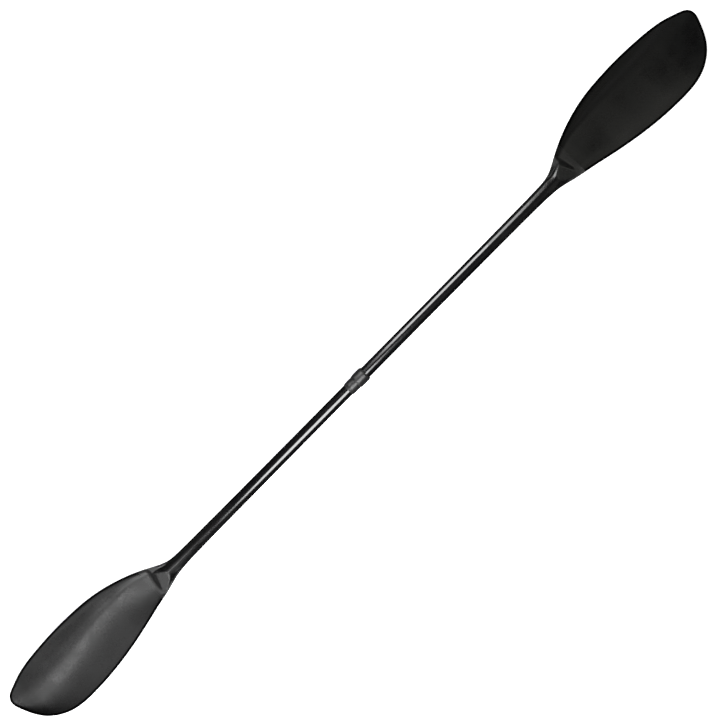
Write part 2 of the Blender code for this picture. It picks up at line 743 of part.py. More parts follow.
# ---------------------------------------------------------------------------
# Collet: a split ring whose fingers taper, between the end sleeve and the
# collar's cone
# ---------------------------------------------------------------------------
COLLET_IN, COLLET_OUT = HEAD + GAP, 0.0058
collet = turned(
    "clamp_collet",
    [
        (COLLET_OUT, 0.0124), (COLLET_OUT - 0.0005, 0.0127), (COLLET_IN + 0.004, SHAFT_R),
        (COLLET_IN, SHAFT_R), (COLLET_IN, FERRULE_R + GAP), (COLLET_OUT, FERRULE_R + GAP),
    ],
    nylon_pale, collet_frame,
)
SLITS = 4
for i in range(SLITS):
    slit = box_cutter(
        f"collet_slit_{i + 1}",
        ((COLLET_IN + 0.004 + COLLET_OUT + 0.002) / 2, 0, 0.0130),
        (COLLET_OUT + 0.002 - COLLET_IN - 0.004, 0.0012, 0.0050),
        math.pi / 4 + i * math.pi / 2,
        collet_frame,
    )
    cut(collet, slit)

# ---------------------------------------------------------------------------
# Twist collar and the wiper seal in its mouth
# ---------------------------------------------------------------------------
BORE = SHAFT_R + 0.00035
MOUTH = 0.01445
turned(
    "lock_collar",
    [
        (COLLAR_OUT, MOUTH), (COLLAR_OUT, 0.0158), (COLLAR_OUT - 0.0022, 0.0168),
        (COLLAR_OUT - 0.0042, COLLAR_R), (-0.0130, COLLAR_R), (-0.0145, COLLAR_R - 0.0004),
        (-0.0166, COLLAR_SKIRT_R + 0.0003), (-0.0182, COLLAR_SKIRT_R), (-0.0335, COLLAR_SKIRT_R),
        (-0.0355, COLLAR_SKIRT_R - 0.0002), (COLLAR_IN, 0.0148),
        (COLLAR_IN, BORE), (COLLET_IN + 0.004, BORE), (COLLET_OUT + 0.0002, 0.01285),
        (0.0078, 0.01285), (0.0078, FERRULE_R + 0.0006), (0.0095, FERRULE_R + 0.0006), (0.0095, MOUTH),
    ],
    collar_grey, collar_frame,
)
tube("wiper_seal", 0.0062, 0.0075, 0.0125, FERRULE_R + GAP, seal_rubber, collar_frame)

print("axis height", AXIS_HEIGHT, "axis offset", AXIS_OFFSET)
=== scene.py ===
"""Looks of the two-piece double-bladed kayak paddle.

Everything is in metres in the part's own frame: the shaft lies along X, both
leading edges point to +Y and both power faces to +Z. Blade shapes are worked
out for the right blade about the shaft's axis, and mirrored for the left one.
"""

import json
import math

import bpy
import bmesh
import numpy as np
from mathutils import Matrix, Vector

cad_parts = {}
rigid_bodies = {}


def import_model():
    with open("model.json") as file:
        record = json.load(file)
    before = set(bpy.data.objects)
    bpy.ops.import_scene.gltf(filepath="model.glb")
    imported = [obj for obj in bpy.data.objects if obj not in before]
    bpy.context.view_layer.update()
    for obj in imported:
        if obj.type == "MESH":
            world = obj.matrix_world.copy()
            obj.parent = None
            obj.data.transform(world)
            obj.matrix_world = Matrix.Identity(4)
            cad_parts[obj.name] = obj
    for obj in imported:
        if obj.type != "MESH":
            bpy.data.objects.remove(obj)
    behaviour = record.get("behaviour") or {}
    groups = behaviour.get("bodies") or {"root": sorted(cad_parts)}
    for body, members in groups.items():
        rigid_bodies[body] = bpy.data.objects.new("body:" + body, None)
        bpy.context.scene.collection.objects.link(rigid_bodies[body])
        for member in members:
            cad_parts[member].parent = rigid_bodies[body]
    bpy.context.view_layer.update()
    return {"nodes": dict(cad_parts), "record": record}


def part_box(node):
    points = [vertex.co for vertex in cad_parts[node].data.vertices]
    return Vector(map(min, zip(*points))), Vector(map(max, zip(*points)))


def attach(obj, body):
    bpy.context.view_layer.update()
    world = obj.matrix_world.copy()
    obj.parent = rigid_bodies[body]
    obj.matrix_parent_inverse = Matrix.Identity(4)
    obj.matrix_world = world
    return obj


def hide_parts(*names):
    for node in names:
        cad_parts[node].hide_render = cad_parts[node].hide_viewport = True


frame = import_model()

# ---------------------------------------------------------------------------
# Dimensions, in metres unless a name says otherwise
# ---------------------------------------------------------------------------
MM = 0.001
LENGTH_CLOSED = 2.200
NECK_START = 0.412
NECK_CUT = 0.682
SHAFT_END = 0.600
SHAFT_R = 0.0140
SWELL_START = 0.220
SWELL_R = 0.01445
SPIGOT_R = 0.0136
SHAFT_BORE = 0.0126
FERRULE_R = 0.0112
FERRULE_BORE = 0.0098
FERRULE_IN = -0.215
FERRULE_OUT = 0.150
FEMALE_END = -0.0347
MALE_END = 0.0103
COLLAR_IN = -0.0415
COLLAR_OUT = 0.0130
COLLAR_R = 0.0176
COLLAR_SKIRT_R = 0.0160
SKIN = 0.0009
RIM_WIDTH = 0.0055
EDGE_THICKNESS = 0.0032
LEAST = 0.0031                 # least thickness away from the edge, measured upright

low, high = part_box("male_shaft_tube")
AXIS_Y = (low[1] + high[1]) / 2
AXIS_Z = (low[2] + high[2]) / 2

# Plan of the right blade, in mm: (distance from the middle, distance from the
# shaft's axis). It runs from the neck along the trailing edge to the tip, and
# back along the leading edge.
PLAN_TRAILING = [
    (412, -14.45), (470, -14.75), (520, -15.1), (555, -15.6), (585, -16.7),
    (618, -20.1), (650, -28.0), (700, -38.6), (760, -52.0), (820, -63.3),
    (880, -70.9), (935, -73.8), (982, -72.5), (1018.5, -64.5), (1045.5, -50.2),
    (1067.5, -30.5), (1083.5, -5.8), (1094, 18.3),
]
PLAN_TIP = (1100, 43.0)
PLAN_LEADING = [
    (1093, 58.0), (1070, 69.6), (1040, 79.6), (1000, 86.9), (950, 91.1),
    (900, 92.8), (850, 91.6), (800, 87.4), (750, 77.1), (700, 60.5),
    (660, 42.0), (632, 27.2), (610, 18.8), (585, 16.0), (555, 15.3),
    (520, 15.0), (470, 14.75), (412, 14.45),
]

# Heights of the right blade above the shaft's axis, in mm, by distance from
# the middle: the bottom of the scoop, and the middle of each edge's thickness.
SCOOP_FLOOR = [
    (600, -3.2), (640, -4.8), (664, -6.6), (682, -8.6), (710, -11.6),
    (770, -15.8), (850, -19.0), (920, -19.4), (990, -16.6), (1045, -10.6),
    (1080, -4.0), (1100, 0.6),
]
LEADING_HEIGHT = [
    (600, 0.0), (640, 0.8), (680, 2.8), (760, 7.6), (840, 9.4), (920, 8.2),
    (1000, 4.6), (1060, 1.6), (1100, 0.0),
]
TRAILING_HEIGHT = [
    (600, 0.0), (680, -1.5), (760, -3.8), (840, -5.2), (920, -5.6),
    (1000, -4.8), (1060, -2.4), (1100, 0.0),
]
# where the scoop is deepest across the blade, and how thick the blade is
# along the spine on its back
SCOOP_LINE = [
    (600, 1.0), (660, 14.0), (700, 26.0), (750, 31.5), (800, 30.5),
    (860, 23.5), (930, 12.0), (1000, 5.0), (1050, 3.0), (1085, 20.0),
    (1100, 43.0),
]
SPINE_THICKNESS = [
    (600, 34.0), (668, 13.0), (700, 12.0), (760, 11.2), (850, 9.4),
    (930, 7.6), (1000, 6.0), (1050, 4.6), (1100, 3.2),
]
SPINE_WIDTH = 0.040
SPINE_LINE = 0.000

# The neck: how high its round top stands over the edges' middle, and the
# slanting facet that the scoop cuts into it. The facet passes FACET_AT, falls
# towards the tip and leans down to the trailing side, and ends in a wall that
# drops to the scoop's floor.
NECK_HEIGHT = [
    (412, 14.45), (470, 14.75), (520, 15.0), (560, 15.2), (590, 15.15),
    (612, 14.75), (640, 14.6), (700, 14.5),
]
FACET_AT = (0.628, -0.003, 0.0145)
FACET_FALL = 0.36
FACET_LEAN = 0.15
WALL_TOP = (0.6560, -0.46)     # distance from the middle on the axis, and slope
WALL_FOOT = (0.6740, -0.20)
NECK_BLEND = 0.0016            # how softly the facet folds into the round top
# half the width of the round top, past which a thin web runs out to the edges
TUBE_HALF = [
    (560, 15.8), (590, 16.3), (602, 16.4), (612, 15.9), (620, 16.2),
    (630, 19.0), (640, 21.4), (650, 23.6), (690, 28.0),
]
WEB_FILLET = 0.0035


# ---------------------------------------------------------------------------
# Curves through stations
# ---------------------------------------------------------------------------
def cubic_through(t, values):
    """Second derivatives of the natural cubic through values at t."""
    n = len(t)
    h = np.diff(t)
    a = np.zeros((n, n))
    b = np.zeros((n,) + values.shape[1:])
    a[0, 0] = a[-1, -1] = 1.0
    for i in range(1, n - 1):
        a[i, i - 1], a[i, i], a[i, i + 1] = h[i - 1], 2 * (h[i - 1] + h[i]), h[i]
        b[i] = 6 * ((values[i + 1] - values[i]) / h[i] - (values[i] - values[i - 1]) / h[i - 1])
    return np.linalg.solve(a, b)


def cubic_at(t, values, bend, x):
    """The natural cubic's value at x."""
    x = np.asarray(x, float)
    i = np.clip(np.searchsorted(t, x) - 1, 0, len(t) - 2)
    h = t[i + 1] - t[i]
    left, right = (t[i + 1] - x) / h, (x - t[i]) / h
    if values.ndim > 1:
        h, left, right = h[..., None], left[..., None], right[..., None]
    return (
        left * values[i] + right * values[i + 1]
        + ((left ** 3 - left) * bend[i] + (right ** 3 - right) * bend[i + 1]) * h * h / 6
    )


def gentle(table):
    """A function of the distance from the middle that passes through a table's
    stations without overshooting them: a cubic with limited slopes."""
    x = np.array([p[0] for p in table], float) * MM
    y = np.array([p[1] for p in table], float) * MM
    step = np.diff(y) / np.diff(x)
    slope = np.zeros(len(x))
    for i in range(1, len(x) - 1):
        if step[i - 1] * step[i] > 0:
            slope[i] = 2 * step[i - 1] * step[i] / (step[i - 1] + step[i])
    slope[0], slope[-1] = step[0], step[-1]

    def at(q):
        q = np.clip(np.asarray(q, float), x[0], x[-1])
        i = np.clip(np.searchsorted(x, q) - 1, 0, len(x) - 2)
        h = x[i + 1] - x[i]
        u = (q - x[i]) / h
        return (
            y[i] * (1 + 2 * u) * (1 - u) ** 2 + slope[i] * h * u * (1 - u) ** 2
            + y[i + 1] * u * u * (3 - 2 * u) - slope[i + 1] * h * u * u * (1 - u)
        )

    return at


def ease(a, b, x):
    u = np.clip((np.asarray(x, float) - a) / (b - a), 0, 1)
    return u * u * (3 - 2 * u)


# ---------------------------------------------------------------------------
# The right blade's surfaces, about the shaft's axis
# ---------------------------------------------------------------------------
def plan_outline(fine=40):
    """The blade's plan as a smooth curve: points, and the tip's index."""
    points = np.array(PLAN_TRAILING + [PLAN_TIP] + PLAN_LEADING, float) * MM
    t = np.concatenate([[0], np.cumsum(np.linalg.norm(np.diff(points, axis=0), axis=1) ** 0.75)])
    bend = cubic_through(t, points)
    ts = np.concatenate(
        [np.linspace(t[i], t[i + 1], fine, endpoint=False) for i in range(len(t) - 1)] + [[t[-1]]]
    )
    curve = cubic_at(t, points, bend, ts)
    far = int(np.argmax(curve[:, 0]))
    curve[:, 0] *= 1 + (LENGTH_CLOSED / 2 / curve[far, 0] - 1) * ease(0.9, 1.09, curve[:, 0])
    return curve, far


OUTLINE, TIP_INDEX = plan_outline()
TRAILING_EDGE = OUTLINE[: TIP_INDEX + 1]
LEADING_EDGE = OUTLINE[TIP_INDEX:][::-1]

floor_of = gentle(SCOOP_FLOOR)
lead_of = gentle(LEADING_HEIGHT)
trail_of = gentle(TRAILING_HEIGHT)
line_of = gentle(SCOOP_LINE)
spine_of = gentle(SPINE_THICKNESS)


neck_height_of = gentle(NECK_HEIGHT)
tube_half_of = gentle(TUBE_HALF)


def sides_at(x):
    """The plan's two edges at a distance x from the middle."""
    lo = np.interp(x, TRAILING_EDGE[:, 0], TRAILING_EDGE[:, 1])
    hi = np.interp(x, LEADING_EDGE[:, 0], LEADING_EDGE[:, 1])
    return lo, hi


def lower_of(a, b, blend):
    """The lower of two heights, with the fold between them rounded."""
    near = np.clip(blend - np.abs(a - b), 0, None)
    return np.minimum(a, b) - near ** 2 / (4 * np.maximum(blend, 1e-9))


def from_edge(x, y):
    """Distance in the plan to the blade's edge."""
    a, b = OUTLINE[:-1], OUTLINE[1:]
    d = b - a
    dd = (d ** 2).sum(1)
    flat = np.stack([x.ravel(), y.ravel()], 1)
    out = np.empty(len(flat))
    for i in range(0, len(flat), 2000):
        p = flat[i:i + 2000, None, :]
        s = np.clip(((p - a) * d).sum(-1) / dd, 0, 1)
        out[i:i + 2000] = np.sqrt(((a + d * s[..., None] - p) ** 2).sum(-1).min(1))
    return out.reshape(x.shape)


def blade_heights(x, y, edge=None):
    """Heights of the power face and of the back at points of the plan."""
    x, y = np.asarray(x, float), np.asarray(y, float)
    lo, hi = sides_at(x)
    y = np.clip(y, lo, hi)
    if edge is None:
        edge = np.full(x.shape, 1.0)
    half, mid = np.maximum((hi - lo) / 2, 1e-6), (hi + lo) / 2
    v = np.clip((y - mid) / half, -1, 1)
    bow = np.sqrt(np.clip(1 - v * v, 0, 1))
    z_lo, z_hi = trail_of(x), lead_of(x)
    z_edge = z_lo + (z_hi - z_lo) * (v + 1) / 2

    # the scoop: a floor that rises to both edges, more sharply near the neck
    # and on the leading side, where it curls up
    y0 = np.clip(line_of(x), lo + 0.25 * half, hi - 0.25 * half)
    lead = y > y0
    q = np.where(lead, (y - y0) / (hi - y0), (y0 - y) / (y0 - lo))
    near = 1 - ease(0.66, 0.78, x)
    power = np.where(lead, 2.6 + 1.4 * near, 2.0 + 2.4 * near)
    rim = np.where(lead, z_hi, z_lo) + EDGE_THICKNESS / 2
    q = np.clip(q, 0, 1)
    face = floor_of(x) + (rim - floor_of(x)) * q ** power

    # thickness, square to the face: thin at the edges, thicker along the
    # spine under the shaft
    spine = np.exp(-((y - SPINE_LINE) / SPINE_WIDTH) ** 2) * (1 - np.abs(v) ** 3)
    thick = EDGE_THICKNESS + (spine_of(x) - EDGE_THICKNESS) * spine
    width = np.maximum(np.where(lead, hi - y0, y0 - lo), 1e-6)
    slope = (rim - floor_of(x)) * power * q ** (power - 1) / width
    thick = thick * np.minimum(np.sqrt(1 + slope ** 2), 1.8)
    core = face - thick / 2

    # rounded edge
    r = EDGE_THICKNESS / 2
    g = np.sqrt(np.clip(1 - (1 - np.clip(edge / r, 0, 1)) ** 2, 0, 1))
    top = core + thick / 2 * g
    back = core - thick / 2 * g

    # the facet, never under the scoop, and the wall at its end
    facet = FACET_AT[2] - FACET_FALL * (x - FACET_AT[0]) + FACET_LEAN * (y - FACET_AT[1])
    facet = -lower_of(-facet, -top, 0.0030)
    drop = ease(WALL_TOP[0] + WALL_TOP[1] * y, WALL_FOOT[0] + WALL_FOOT[1] * y, x)
    top = facet + (top - facet) * drop

    # the round neck, which the facet cuts, and which fades into the back
    radius = neck_height_of(x)
    dome = z_edge + radius * bow
    s = (y - mid * (1 - ease(0.585, 0.610, x))) / tube_half_of(x)
    tube = z_edge + radius * np.sqrt(np.clip(1 - s * s, 0, 1))
    web = z_edge + LEAST / 2 * g
    winged = -lower_of(-tube, -web, WEB_FILLET * np.clip(edge / 0.004, 0, 1))
    m = ease(0.590, 0.614, x) * (1 - ease(0.655, 0.680, x))
    dome = dome * (1 - m) + winged * m
    rounded = lower_of(dome, top, NECK_BLEND * np.clip(edge / 0.003, 0, 1))
    top = dome + (rounded - dome) * ease(0.598, 0.612, x)
    w = ease(0.600, 0.790, x)
    back = (z_edge - radius * bow) * (1 - w) + back * w
    back = lower_of(back, top - LEAST * np.clip(edge / 0.002, 0, 1), 0.0004 * np.clip(edge / 0.003, 0, 1))
    return top, back


# ---------------------------------------------------------------------------
# Mesh helpers
# ---------------------------------------------------------------------------
def to_frame(points):
    """Points about the shaft's axis, in the part's frame."""
    points = np.array(points, float)
    points[..., 1] += AXIS_Y
    points[..., 2] += AXIS_Z
    return points


def piece(name, points, faces, node, material, smooth=38):
    """A visible piece that stands for a CAD node and rides on its body."""
    mesh = bpy.data.meshes.new(name)
    mesh.from_pydata(to_frame(points).reshape(-1, 3).tolist(), [], faces)
    mesh.update()
    mesh.shade_smooth()
    mesh.set_sharp_from_angle(angle=math.radians(smooth))
    mesh.materials.append(material)
    obj = bpy.data.objects.new(name, mesh)
    bpy.context.scene.collection.objects.link(obj)
    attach(obj, body_of_node[node])
    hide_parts(node)
    return obj


body_of_node = {n: b for b, ns in frame["record"]["behaviour"]["bodies"].items() for n in ns}
slot_of_node = {s["node"]: s["material_slot"] for s in frame["record"]["subparts"]}


def turned_mesh(profile, sides):
    """Points and faces of a closed profile of (distance along the axis,
    radius) turned about the shaft's axis. The profile runs towards -X along
    its outer side. A radius of zero closes it on the axis."""
    n = len(profile)
    points, faces = [], []
    ring_at = []
    for x, r in profile:
        ring_at.append(len(points))
        if r < 1e-9:
            points.append((x, 0.0, 0.0))
        else:
            for j in range(sides):
                a = 2 * math.pi * j / sides
                points.append((x, r * math.cos(a), r * math.sin(a)))
    solid = profile[0][1] < 1e-9 and profile[-1][1] < 1e-9
    pairs = [(i, i + 1) for i in range(n - 1)] + ([] if solid else [(n - 1, 0)])
    for i, k in pairs:
        a0, b0 = ring_at[i], ring_at[k]
        point_a, point_b = profile[i][1] < 1e-9, profile[k][1] < 1e-9
        for j in range(sides):
            m = (j + 1) % sides
            if point_a and point_b:
                continue
            if point_a:
                faces.append((a0, b0 + j, b0 + m))
            elif point_b:
                faces.append((a0 + j, b0, a0 + m))
            else:
                faces.append((a0 + j, b0 + j, b0 + m, a0 + m))
    return points, faces


def rounded(profile, radii, steps=5):
    """A closed profile with rounded corners: radii gives each corner's, or 0."""
    out = []
    n = len(profile)
    for i, (p, r) in enumerate(zip(profile, radii)):
        p = np.array(p, float)
        if not r:
            out.append(tuple(p))
            continue
        a, b = np.array(profile[i - 1], float) - p, np.array(profile[(i + 1) % n], float) - p
        la, lb = np.linalg.norm(a), np.linalg.norm(b)
        a, b = a / la, b / lb
        half = math.acos(max(-1, min(1, float(a @ b)))) / 2
        d = min(r / math.tan(half), 0.48 * la, 0.48 * lb)
        r = d * math.tan(half)
        centre = p + (a + b) / np.linalg.norm(a + b) * r / math.sin(half)
        u, w = p + a * d - centre, p + b * d - centre
        for k in range(steps + 1):
            s = k / steps
            ang = math.acos(max(-1, min(1, float(u @ w) / r ** 2)))
            q = (math.sin((1 - s) * ang) * u + math.sin(s * ang) * w) / math.sin(ang)
            out.append(tuple(centre + q))
    return out


def turned(name, profile, node, material, sides=128, smooth=38):
    points, faces = turned_mesh(profile, sides)
    return piece(name, points, faces, node, material, smooth)


# ---------------------------------------------------------------------------
# Materials
# ---------------------------------------------------------------------------
class Nodes:
    """Short names for the nodes of one material."""

    def __init__(self, name):
        self.material = bpy.data.materials.new(name)
        self.material.use_nodes = True
        self.tree = self.material.node_tree
        self.shader = self.tree.nodes["Principled BSDF"]

    def link(self, a, b):
        self.tree.links.new(a, b)

    def put(self, socket, value):
        if isinstance(value, (int, float)):
            socket.default_value = value
        elif isinstance(value, tuple):
            socket.default_value = value
        else:
            self.link(value, socket)

    def math(self, op, a, b=None, c=None):
        node = self.tree.nodes.new("ShaderNodeMath")
        node.operation = op
        for socket, value in zip(node.inputs, (a, b, c)):
            if value is not None:
                self.put(socket, value)
        return node.outputs[0]

    def place(self):
        """The piece's own coordinates, in metres, as (vector, x, y, z)."""
        node = self.tree.nodes.new("ShaderNodeTexCoord")
        split = self.tree.nodes.new("ShaderNodeSeparateXYZ")
        self.link(node.outputs["Object"], split.inputs[0])
        return node.outputs["Object"], split.outputs[0], split.outputs[1], split.outputs[2]

    def vector(self, x, y, z):
        node = self.tree.nodes.new("ShaderNodeCombineXYZ")
        for socket, value in zip(node.inputs, (x, y, z)):
            self.put(socket, value)
        return node.outputs[0]

    def noise(self, vector, scale, detail=3.0, rough=0.55):
        node = self.tree.nodes.new("ShaderNodeTexNoise")
        self.link(vector, node.inputs["Vector"])
        node.inputs["Scale"].default_value = scale
        node.inputs["Detail"].default_value = detail
        node.inputs["Roughness"].default_value = rough
        return node.outputs["Fac"]

    def cells(self, vector, scale):
        node = self.tree.nodes.new("ShaderNodeTexVoronoi")
        self.link(vector, node.inputs["Vector"])
        node.inputs["Scale"].default_value = scale
        return node.outputs["Distance"]

    def spread(self, value, a, b, to_a, to_b):
        """value from the range a..b to the range to_a..to_b, clamped."""
        node = self.tree.nodes.new("ShaderNodeMapRange")
        node.inputs["From Min"].default_value = a
        node.inputs["From Max"].default_value = b
        node.inputs["To Min"].default_value = to_a
        node.inputs["To Max"].default_value = to_b
        self.link(value, node.inputs["Value"])
        return node.outputs[0]

    def blend(self, factor, a, b):
        node = self.tree.nodes.new("ShaderNodeMix")
        node.data_type = "RGBA"
        self.put(node.inputs["Factor"], factor)
        for socket, value in ((node.inputs[6], a), (node.inputs[7], b)):
            self.put(socket, value)
        return node.outputs[2]

    def bump(self, height, strength, distance, before=None):
        node = self.tree.nodes.new("ShaderNodeBump")
        node.inputs["Strength"].default_value = strength
        node.inputs["Distance"].default_value = distance
        self.link(height, node.inputs["Height"])
        if before is not None:
            self.link(before, node.inputs["Normal"])
        return node.outputs[0]

    def twill(self, u, v):
        """A 2x2 twill of tows one unit wide: (1 on the tows along v, height
        of the tow's crown, the fraction across the tow)."""
        iu, iv = self.math("FLOOR", u), self.math("FLOOR", v)
        fu, fv = self.math("SUBTRACT", u, iu), self.math("SUBTRACT", v, iv)
        k = self.math("FLOORED_MODULO", self.math("ADD", iu, iv), 4.0)
        along = self.math("LESS_THAN", k, 1.5)
        flip = self.math("SUBTRACT", 1.0, along)
        across = self.math("ADD", self.math("MULTIPLY", along, fu), self.math("MULTIPLY", flip, fv))
        run_v = self.math("MULTIPLY", self.math("ADD", k, fv), 0.5)
        run_u = self.math("MULTIPLY", self.math("ADD", self.math("SUBTRACT", k, 2.0), fu), 0.5)
        run = self.math("ADD", self.math("MULTIPLY", along, run_v), self.math("MULTIPLY", flip, run_u))
        crown = self.math("SINE", self.math("MULTIPLY", across, math.pi))
        float_ = self.math("SINE", self.math("MULTIPLY", run, math.pi))
        height = self.math("MULTIPLY", self.math("POWER", crown, 0.5), self.math("ADD", 0.35, self.math("MULTIPLY", float_, 0.65)))
        return along, height, across

    def set(self, **values):
        for name, value in values.items():
            self.put(self.shader.inputs[name.replace("_", " ")], value)
        if "Normal" in values:
            pass
        return self.material


def blade_carbon(name, tone, roughness, level, polished=None):
    """Satin carbon laminate: a 2x2 twill of 2 mm tows under a thin resin
    coat, with cloudy resin, faint flow marks and fine scuffs. On a neck the
    round part is polished like the shaft, and the facet is not."""
    n = Nodes(name)
    place, x, y, z = n.place()
    tow = 0.0021
    along, height, across = n.twill(n.math("DIVIDE", x, tow), n.math("DIVIDE", y, tow))
    fibre = n.noise(n.vector(n.math("MULTIPLY", x, 260.0), n.math("MULTIPLY", y, 2600.0), 0.0), 1.0, 2.0)
    cloud = n.noise(place, 26.0, 3.0)
    fine = n.noise(place, 900.0, 2.0)
    # long shallow scuffs along the blade
    scuff = n.noise(n.vector(n.math("MULTIPLY", x, 9.0), n.math("MULTIPLY", y, 320.0), n.math("MULTIPLY", z, 40.0)), 1.0, 4.0, 0.7)
    scuff = n.spread(scuff, 0.66, 0.76, 0.0, 1.0)
    weave = n.math("ADD", n.math("MULTIPLY", along, 0.16), n.math("MULTIPLY", height, 0.10))
    mix = n.math("ADD", weave, n.math("MULTIPLY", n.math("SUBTRACT", cloud, 0.5), 0.55))
    mix = n.math("ADD", mix, n.math("MULTIPLY", fibre, 0.10))
    dark = tuple(c * 0.72 for c in tone) + (1.0,)
    light = tuple(c * 1.75 for c in tone) + (1.0,)
    colour = n.blend(n.spread(mix, 0.0, 0.6, 0.0, 1.0), dark, light)
    colour = n.blend(n.math("MULTIPLY", scuff, 0.35), colour, tuple(min(1, c * 4) for c in tone) + (1.0,))
    rough = n.math("ADD", n.spread(cloud, 0.3, 0.7, roughness - 0.04, roughness + 0.04), n.math("MULTIPLY", scuff, 0.10))
    rough = n.math("ADD", rough, n.math("MULTIPLY", n.math("SUBTRACT", 1.0, height), 0.035))
    if polished is not None:
        # how far the surface lies under the facet's plane
        out = n.math("ABSOLUTE", x)
        yy, zz = n.math("SUBTRACT", y, AXIS_Y), n.math("SUBTRACT", z, AXIS_Z)
        plane = n.math("ADD", n.math("MULTIPLY", n.math("SUBTRACT", out, FACET_AT[0]), -FACET_FALL), FACET_AT[2])
        plane = n.math("ADD", plane, n.math("MULTIPLY", n.math("SUBTRACT", yy, FACET_AT[1]), FACET_LEAN))
        under = n.math("SUBTRACT", plane, zz)
        round_ = n.spread(under, 0.0004, 0.0016, 0.0, 1.0)
        mask = n.math("MULTIPLY", n.math("MAXIMUM", round_, n.spread(out, 0.600, 0.612, 1.0, 0.0)), n.spread(out, 0.634, 0.644, 1.0, 0.0))
        rough = n.math("ADD", rough, n.math("MULTIPLY", mask, polished - roughness))
        # the flanks past the polished part are only sanded
        sanded = n.math("MULTIPLY", round_, n.spread(out, 0.634, 0.644, 0.0, 1.0))
        sanded = n.math("MULTIPLY", sanded, n.spread(out, 0.655, 0.668, 1.0, 0.0))
        rough = n.math("ADD", rough, n.math("MULTIPLY", sanded, 0.22))
    bump = n.bump(height, 0.10 if polished is not None else 0.18, 0.00012)
    bump = n.bump(n.math("ADD", n.math("MULTIPLY", fine, 0.5), cloud), 0.10, 0.0003, bump)
    return n.set(
        Base_Color=colour, Roughness=rough, Normal=bump,
        Specular_IOR_Level=level, Coat_Weight=0.0,
    )


def tube_carbon(name, tone, roughness, level):
    """Wound carbon tube: a twill wrapped round the shaft, deep under a
    polished clear coat, with fine polishing lines along it."""
    n = Nodes(name)
    place, x, y, z = n.place()
    yy, zz = n.math("SUBTRACT", y, AXIS_Y), n.math("SUBTRACT", z, AXIS_Z)
    angle = n.math("ARCTAN2", zz, yy)
    around = n.math("MULTIPLY", angle, SHAFT_R)
    tow = 2 * math.pi * SHAFT_R / 44
    along, height, across = n.twill(n.math("DIVIDE", x, tow), n.math("DIVIDE", around, tow))
    cloud = n.noise(place, 60.0, 3.0)
    grind = n.noise(n.vector(n.math("MULTIPLY", x, 14.0), n.math("MULTIPLY", y, 1500.0), n.math("MULTIPLY", z, 1500.0)), 1.0, 3.0, 0.6)
    mix = n.math("ADD", n.math("MULTIPLY", along, 0.35), n.math("MULTIPLY", height, 0.25))
    mix = n.math("ADD", mix, n.math("MULTIPLY", cloud, 0.35))
    dark = tuple(c * 0.6 for c in tone) + (1.0,)
    light = tuple(c * 1.9 for c in tone) + (1.0,)
    colour = n.blend(mix, dark, light)
    rough = n.math("ADD", n.spread(grind, 0.3, 0.7, roughness - 0.02, roughness + 0.03), n.math("MULTIPLY", cloud, 0.02))
    bump = n.bump(height, 0.03, 0.00004)
    bump = n.bump(grind, 0.04, 0.00003, bump)
    return n.set(
        Base_Color=colour, Roughness=rough, Normal=bump, Specular_IOR_Level=level,
    )


def moulded(name, tone, roughness, grain=1400.0, level=0.5, metal=0.0):
    """Moulded plastic or rubber: a fine spark-eroded grain, slight clouding."""
    n = Nodes(name)
    place, x, y, z = n.place()
    grain_ = n.noise(place, grain, 2.0, 0.6)
    pores = n.cells(place, grain * 0.6)
    cloud = n.noise(place, 120.0, 3.0)
    dark = tuple(c * 0.80 for c in tone) + (1.0,)
    light = tuple(min(1.0, c * 1.22) for c in tone) + (1.0,)
    colour = n.blend(n.math("ADD", n.math("MULTIPLY", cloud, 0.6), n.math("MULTIPLY", grain_, 0.4)), dark, light)
    rough = n.math("ADD", n.spread(cloud, 0.3, 0.7, roughness - 0.04, roughness + 0.04), n.math("MULTIPLY", grain_, 0.05))
    bump = n.bump(n.math("ADD", grain_, n.math("MULTIPLY", pores, 0.5)), 0.30, 0.00012)
    return n.set(Base_Color=colour, Roughness=rough, Normal=bump, Specular_IOR_Level=level, Metallic=metal)


def foam_cells(name, tone):
    """Cut closed-cell foam."""
    n = Nodes(name)
    place, x, y, z = n.place()
    cells = n.cells(place, 900.0)
    cloud = n.noise(place, 90.0, 3.0)
    dark = tuple(c * 0.62 for c in tone) + (1.0,)
    colour = n.blend(n.math("ADD", n.math("MULTIPLY", cells, 0.6), n.math("MULTIPLY", cloud, 0.5)), dark, tone + (1.0,))
    rough = n.spread(cells, 0.0, 0.6, 0.85, 0.98)
    bump = n.bump(cells, 0.6, 0.0004)
    return n.set(Base_Color=colour, Roughness=rough, Normal=bump, Specular_IOR_Level=0.3)


carbon_face = blade_carbon("carbon_face", (0.0040, 0.0040, 0.0041), 0.27, 0.42)
carbon_neck = blade_carbon("carbon_neck", (0.0040, 0.0040, 0.0041), 0.27, 0.42, polished=0.14)
# the rim is a real edge band, but it is made near black, darker than the faces' carbon and nearly without reflection:
# painted shade for the dark outline round the blades' edges
carbon_edge = moulded("carbon_edge", (0.0011, 0.0011, 0.0012), 0.52, level=0.03)
carbon_shaft = tube_carbon("carbon_shaft", (0.0020, 0.0020, 0.0022), 0.125, 0.60)
carbon_ferrule = tube_carbon("carbon_ferrule", (0.0060, 0.0060, 0.0064), 0.14, 0.60)
collar_plastic = moulded("collar_plastic", (0.0100, 0.0100, 0.0102), 0.30, grain=1900.0, level=0.46)
nylon_dark = moulded("nylon_dark", (0.020, 0.020, 0.021), 0.50)
nylon_pale = moulded("nylon_pale", (0.42, 0.42, 0.40), 0.48)
seal_rubber = moulded("seal_rubber", (0.010, 0.010, 0.010), 0.80, grain=2600.0)
foam = foam_cells("foam", (0.62, 0.58, 0.46))
glass_fibre = moulded("glass_fibre", (0.050, 0.055, 0.050), 0.35, grain=500.0)

